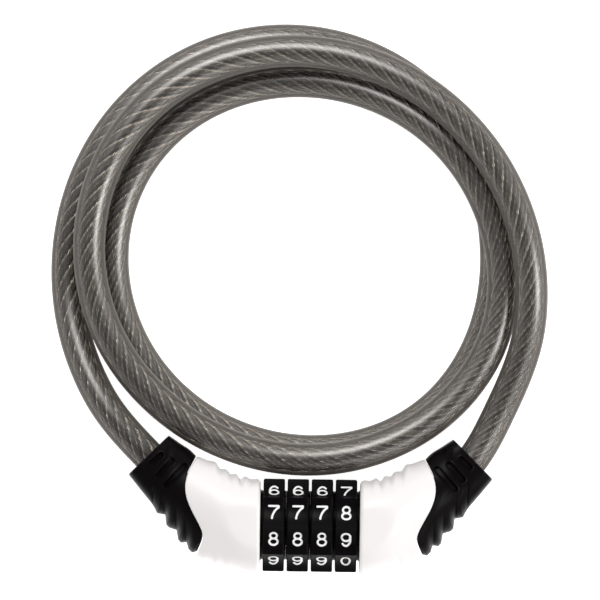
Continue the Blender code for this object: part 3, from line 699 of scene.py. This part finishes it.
def boot(side):
    """A boot as a closed skin. Its sections go all the way round, with the seam at one end and the
    mouth at the other, where the end face leads in to the cable's bore and the bore leads back."""
    near = np.array(casing_seam) + [GAP / MM, 0.0]
    near = near[near[:, 1] > BOOT_LOWER[0][1]]
    steps = rounded([near[0], *BOOT_LOWER[1:]], 0.1, STEP_ROUND)
    lower = smooth_curve([near[0], *BOOT_LOWER_MEAN[1:]], 120)
    upper = smooth_curve([near[-1], *BOOT_UPPER[1:]], 60)
    near = np.vstack([lower[0], near, upper[0]])
    far = np.array([lower[-1], upper[-1]])
    heights = smooth_curve([(10 * a, h) for a, h in BOOT_HALF_HEIGHTS], 60) * [0.1, 1.0]

    edge = np.radians(np.linspace(0, 90, 6))
    round_r, reach = 0.55, 33.0
    face_rows = np.linspace(0, 1 - round_r / reach, 190)
    along = np.r_[face_rows, 1 - round_r * (1 - np.sin(edge)) / reach][:, None]
    inset = np.r_[np.zeros(190), round_r * (1 - np.cos(edge))][:, None]
    turn = np.linspace(0, 2 * np.pi, 281)[None]
    along, inset = along + 0 * turn, inset + 0 * turn
    width = np.linalg.norm(at_share(upper, along) - at_share(lower, along), axis=-1)
    spread = 0.5 - 0.5 * np.cos(turn) + 0 * along
    across = inset / width + spread * (1 - 2 * inset / width)
    flat = patch(lower, upper, near, far, along, across)
    stand = at_share(steps, along) - at_share(lower, along)
    flat = flat + stand * np.exp(-((spread * width / STEP_REACH) ** 2))[..., None]
    height = np.interp(along, heights[:, 0], heights[:, 1])
    power = 2.5 + 1.7 * ease((along - 0.45) / 0.4)
    rise = over_the_top(spread, height, power) - inset

    fold_x, fold_y = np.array(FOLDS).T
    gone = ease((flat[..., 1, None] - fold_y) / FOLD_FADE)
    off = flat[..., 0, None] - fold_x
    pleat = np.exp(-((off / 0.45) ** 2)) + 0.6 * np.exp(-(((off + 0.8) / 0.8) ** 2))
    rise = rise - FOLD_DEPTH * (pleat * (1 - gone)).sum(-1)
    for start, end in SLOTS:
        sunk = ease((SLOT_HALF_WIDTH + 0.16 - distance_to(flat, start, end)) / 0.32)
        lip = np.exp(-(((distance_to(flat, start, end) - SLOT_HALF_WIDTH - 0.25) / 0.22) ** 2))
        rise = rise - SLOT_DEPTH * sunk + SLOT_LIP * lip
    rise = np.maximum(rise, 0.0) * np.where(turn <= np.pi, 1.0, -1.0)
    outside = np.concatenate([flat, rise[..., None]], -1)

    # The bore runs back at 45 degrees until every point of its ring is on the seam
    mouth, bore_r = MOUTH_BORE
    level = np.array([-1.0, 1.0]) / math.sqrt(2)
    from_middle = np.outer(-np.cos(turn[0]) * bore_r, level)
    rim = np.column_stack([np.array(mouth) + from_middle, bore_r * np.sin(turn[0])])
    deep = np.column_stack([np.array(SEAM_BORE) + from_middle, rim[:, 2]])
    for _ in range(40):
        seam_x = np.interp(deep[:, 1], near[:, 1], near[:, 0])
        deep[:, :2] += 0.3 * (seam_x - deep[:, 0])[:, None]
    lip_rows = [rim + 0.12 * (outside[-1] - rim), rim - [0.05, 0.05, 0.0]]
    bore = [rim + share * (deep - rim) for share in (0.04, 0.35, 0.7, 1.0)]
    shape = np.concatenate([outside, lip_rows, bore, outside[:1]]) * MM
    shape[..., 0] *= side
    shape[..., 2] += AXIS_Z
    return [shape]


rubber = moulded_plastic("black_rubber", (0.0034, 0.0026, 0.0030), 0.34, 0.3, 1800.0, 0.05 * MM, 0.065)
for side in (-1, 1):
    node = f"{NAME_OF_SIDE[side]}_boot"
    grip = skin(f"{node}_grip", *boot(side), sharp=50.0)
    grip.data.materials.append(rubber)
    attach(grip, BODY_OF_SIDE[side])
    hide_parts(node)

# ------------------------------------------------------------------ dials
# Four black nylon dials, each with ten hollow faces. The rim is narrower than the hub, which
# leaves the gaps between the rims, and the code ring is pressed into the bore.

DIAL_PITCH = 7.5
DIAL_FACES = 10
DIAL_EDGE_R, DIAL_FACE_R = 15.1, 13.2
DIAL_HUB_R, DIAL_BORE_R = 10.75, 8.6
DIAL_HUB_HALF, DIAL_END_HUB_HALF, DIAL_RIM_HALF = 3.735, 3.87, 3.34
DIAL_ROUND = 0.5
FACE_HALF = DIAL_EDGE_R * math.sin(math.pi / DIAL_FACES)
FACE_DIP = DIAL_EDGE_R * math.cos(math.pi / DIAL_FACES) - DIAL_FACE_R


def dial_x(number):
    """The middle of a dial along the head, in millimetres."""
    return (number - 2.5) * DIAL_PITCH


def dial_rim(shrink):
    """Once round the rim: each face dips as the square of the distance from its middle, and the
    edges between faces are softened. Gives distances out and turns from straight up."""
    across = np.sin(np.linspace(-np.pi / 2, np.pi / 2, 25)[:-1])
    out = DIAL_FACE_R + FACE_DIP * across**2
    radius = held_under(np.hypot(out, FACE_HALF * across), DIAL_EDGE_R - 0.03, 0.07)
    turn = np.arctan2(FACE_HALF * across, out)
    faces = 2 * np.pi * (np.arange(DIAL_FACES)[:, None] + 0.5) / DIAL_FACES
    turns = (faces + turn).ravel()
    return np.r_[np.tile(radius, DIAL_FACES), radius[0]] - shrink, np.r_[turns, turns[0] + 2 * np.pi]


def dial_wheel(number):
    """A dial as a ring of rows: along the bore, out over the hub, up the rim's side, round its
    edge, across the faces, and down the other side."""
    _, turns = dial_rim(0.0)
    edge = np.radians(np.linspace(0, 90, 6))
    rim = [
        (-DIAL_RIM_HALF + DIAL_ROUND * (1 - math.cos(a)), None, DIAL_ROUND * (1 - math.sin(a))) for a in edge
    ]
    low, high = (
        [(-hub, DIAL_BORE_R, None), (-hub, DIAL_HUB_R - 0.1, None), (-hub + 0.1, DIAL_HUB_R, None)]
        + [(-DIAL_RIM_HALF, DIAL_HUB_R, None), *rim]
        for hub in (DIAL_END_HUB_HALF if number == end else DIAL_HUB_HALF for end in (1, 4))
    )
    rows = low + [(-x, r, s) for x, r, s in high[::-1]] + low[:1]
    radii = [np.full(len(turns), r) if s is None else dial_rim(s)[0] for _, r, s in rows]
    x = np.array([dial_x(number) + row[0] for row in rows])[:, None] + 0 * turns
    radii = np.array(radii)
    shape = np.stack([x, -radii * np.sin(turns), radii * np.cos(turns)], -1) * MM
    return [shape + [0.0, AXIS_Y, AXIS_Z]]


dial_nylon = moulded_plastic("dial_nylon", (0.0030, 0.0024, 0.0030), 0.34, 0.3, 1300.0, 0.03 * MM, 0.06)
for number in range(1, 5):
    wheel = skin(f"dial_{number}_wheel_moulding", *dial_wheel(number))
    wheel.data.materials.append(dial_nylon)
    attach(wheel, f"dial_{number}_wheel")
    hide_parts(f"dial_{number}")

# ------------------------------------------------------------------ figures on the dials
# The figures 0 to 9 are printed on the faces in thick white ink, with round-ended strokes. They
# stand upright for a reader below the head, and rise by one from each face to the next below.

FIGURE_HALF_WIDTH, FIGURE_HALF_HEIGHT = 1.30, 1.99
STROKE_HALF = 0.335
INK_HEIGHT = 0.07
FIGURE_LIFT = 0.15
FACE_AT_TOP = 18.0


def bow(middle, radii, start, end):
    """Part of an ellipse, from one angle to another in degrees."""
    turn = np.radians(np.linspace(start, end, 41))
    return np.column_stack([middle[0] + radii[0] * np.cos(turn), middle[1] + radii[1] * np.sin(turn)])


def bar(*corners):
    """Straight runs through the corners, each as its own stroke."""
    return [np.linspace(a, b, 9) for a, b in zip(corners, corners[1:])]


W, H = FIGURE_HALF_WIDTH, FIGURE_HALF_HEIGHT
six = [bow((0, -0.76), (W + 0.05, 1.24), 0, 380), bow((0.03, 0), (W + 0.08, H), 42, 205)]
FIGURES = {
    0: [bow((0, 0), (W, H), 0, 380)],
    1: bar((-0.8, 1.2), (0.2, H), (0.2, -H)),
    2: [bow((0, 0.80), (1.25, 1.19), 160, -35), *bar((1.02, 0.12), (-1.2, -H), (1.3, -H))],
    3: [bow((-0.1, 0.99), (1.12, 1.0), 145, -90), bow((-0.1, -0.92), (1.30, 1.07), 90, -145)],
    4: bar((0.45, H), (-1.35, -0.75), (1.4, -0.75)) + bar((0.5, H), (0.5, -H)),
    5: [*bar((1.1, H), (-0.8, H), (-1.05, 0.2)), bow((-0.05, -0.70), (1.30, 1.29), 138, -145)],
    6: six,
    7: [*bar((-1.48, H), (1.48, H)), bow((3.3, -H - 0.5), (3.9, 4.6), 117.5, 173)],
    8: [bow((0, 1.02), (1.06, 0.97), 0, 380), bow((0, -0.95), (1.30, 1.04), 0, 380)],
    9: [-stroke for stroke in six],
}


def stroke_ribbon(line):
    """A stroke as a low rounded bar: half an ellipse of ink carried along the line. Its width
    closes to nothing at both ends as a half circle does."""
    start, finish = line[0] - line[1], line[-1] - line[-2]
    start, finish = (STROKE_HALF * way / np.linalg.norm(way) for way in (start, finish))
    line = np.vstack([line[0] + start, line, line[-1] + finish])
    run = lengths_along(line)
    ends = np.linspace(0, np.pi / 2, 6)
    dense = STROKE_HALF * (1 - np.cos(ends))
    body = np.linspace(STROKE_HALF, run[-1] - STROKE_HALF, len(line))
    run_fine = np.unique(np.r_[dense, body, run[-1] - dense])
    line = np.column_stack([np.interp(run_fine, run, line[:, k]) for k in range(2)])
    near_end = np.minimum(run_fine, run_fine[-1] - run_fine)
    half = STROKE_HALF * np.sqrt(np.maximum(1 - (1 - np.minimum(near_end / STROKE_HALF, 1)) ** 2, 0))
    way = np.gradient(line, axis=0)
    way /= np.linalg.norm(way, axis=1)[:, None]
    off = np.column_stack([-way[:, 1], way[:, 0]])
    round_it = np.radians([180, 150, 120, 90, 60, 30, 0, -90, 180])
    wide = np.cos(round_it) * [1, 1, 1, 1, 1, 1, 1, 0, 1]
    high = np.maximum(np.sin(round_it), 0) ** 0.5 - 0.6 * (np.sin(round_it) < -0.5)
    flat = line[:, None] + half[:, None, None] * wide[:, None] * off[:, None]
    lift = INK_HEIGHT * high[None] * np.minimum(half / STROKE_HALF * 2.5, 1)[:, None] - 0.01
    return np.concatenate([flat, lift[..., None]], -1)


def figure_on_face(number, figure, degrees):
    """The figure's strokes laid on the hollow face that stands at these degrees towards +Y."""
    lean = math.radians(degrees)
    out_way = np.array([0.0, math.sin(lean), math.cos(lean)])
    up_way = np.array([0.0, math.cos(lean), -math.sin(lean)])
    laid = []
    for stroke in FIGURES[figure]:
        ribbon = stroke_ribbon(stroke)
        ribbon[..., 1] += FIGURE_LIFT
        out = DIAL_FACE_R + FACE_DIP * (ribbon[..., 1] / FACE_HALF) ** 2 + ribbon[..., 2]
        point = (ribbon[..., 0, None] + dial_x(number)) * np.array([1.0, 0.0, 0.0])
        point = point + ribbon[..., 1, None] * up_way + out[..., None] * out_way
        laid.append(point * MM + [0.0, AXIS_Y, AXIS_Z])
    return laid


ink = moulded_plastic("white_ink", (0.88, 0.88, 0.87), 0.5, 0.05, 2500.0, 0.01 * MM)
for number in range(1, 5):
    first_figure = 8 if number == 4 else 7
    strokes = []
    for step in range(DIAL_FACES):
        strokes += figure_on_face(number, (first_figure + step) % 10, FACE_AT_TOP - 36.0 * step)
    figures = skin(f"dial_{number}_figures", *strokes, sharp=60.0)
    figures.data.materials.append(ink)
    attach(figures, f"dial_{number}_wheel")

# ------------------------------------------------------------------ works inside the head
# The parts that the casings hide keep their machined shapes: brass code rings, turned and milled
# steel for the spindle and locking pin, spring steel, and die-cast zinc for the two blocks.


def worked_metal(name, colour, roughness, patches, marks):
    """Worked metal: its colour and roughness wander in patches, and fine marks bump it."""
    tones, gloss = (0.72, 1.18), (0.75, 1.3)
    made, shader = mottled(name, colour, roughness, tones, gloss, patches, marks, 3.0, 0.25, 0.02 * MM)
    shader.inputs["Metallic"].default_value = 1.0
    return made


turned_steel = worked_metal("turned_steel", (0.62, 0.62, 0.63), 0.28, 160.0, 3000.0)
spring_steel = worked_metal("spring_steel", (0.52, 0.54, 0.58), 0.24, 140.0, 2600.0)
brass = worked_metal("brass", (0.75, 0.56, 0.26), 0.32, 120.0, 2400.0)
die_cast = worked_metal("die_cast_zinc", (0.50, 0.50, 0.52), 0.50, 70.0, 900.0)
plate_plastic = moulded_plastic("plate_plastic", (0.0034, 0.003, 0.0034), 0.4, 0.25, 1400.0, 0.03 * MM, 0.08)
FINISH_OF_NODE = {
    "spindle": turned_steel, "locking_pin": turned_steel, "pin_cross_pin": turned_steel,
    "left_ferrule": turned_steel, "right_ferrule": turned_steel, "left_ferrule_pin": turned_steel,
    "right_ferrule_pin": turned_steel, "retaining_ring": spring_steel, "lock_body": die_cast,
    "plug_body": die_cast, "left_flange": plate_plastic, "right_flange": plate_plastic,
}
for number in range(1, 5):
    FINISH_OF_NODE[f"code_ring_{number}"] = brass
    FINISH_OF_NODE[f"detent_spring_{number}"] = spring_steel
for node, finish in FINISH_OF_NODE.items():
    nodes[node].data.materials.clear()
    nodes[node].data.materials.append(finish)
